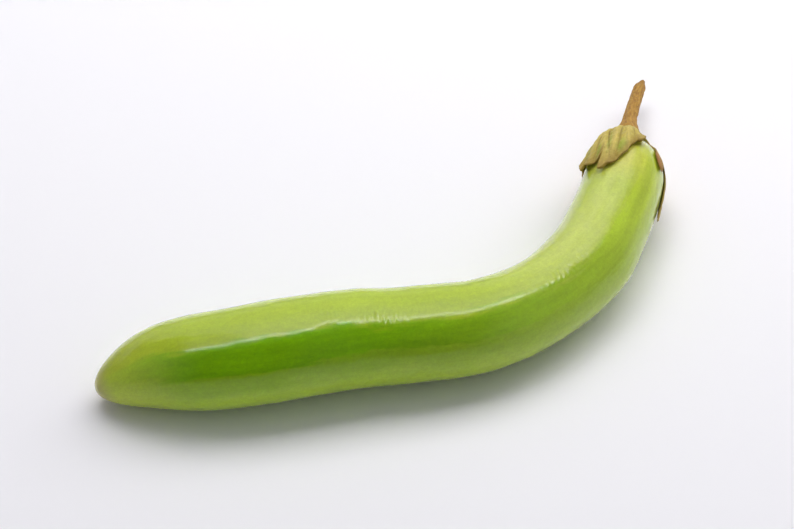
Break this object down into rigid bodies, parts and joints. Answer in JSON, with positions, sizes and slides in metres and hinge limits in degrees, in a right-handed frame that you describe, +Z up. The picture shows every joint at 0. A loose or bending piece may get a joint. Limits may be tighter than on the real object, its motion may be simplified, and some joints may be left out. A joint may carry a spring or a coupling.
{
  "type": "eggplant",
  "caption": "Long slender green eggplant lying on its side, bent like a hockey stick, with a lobed leathery calyx over its neck and a dry broken stem.",
  "frame": {"origin": "middle of the bounding box seen from above, on the surface the eggplant lies on", "axes": "+Z up; +X along the fruit's long body from the blossom end towards the bend, the longest extent; +Y towards the side the neck and stem bend to"},
  "size_m": [0.23, 0.1918, 0.0397],
  "materials": {
    "fruit_skin": "satin",
    "calyx": "matte",
    "stem": "matte"
  },
  "bodies": {
    "root": {"fruit": "fruit_skin", "calyx": "calyx", "stem": "stem"}
  },
  "joints": []
}
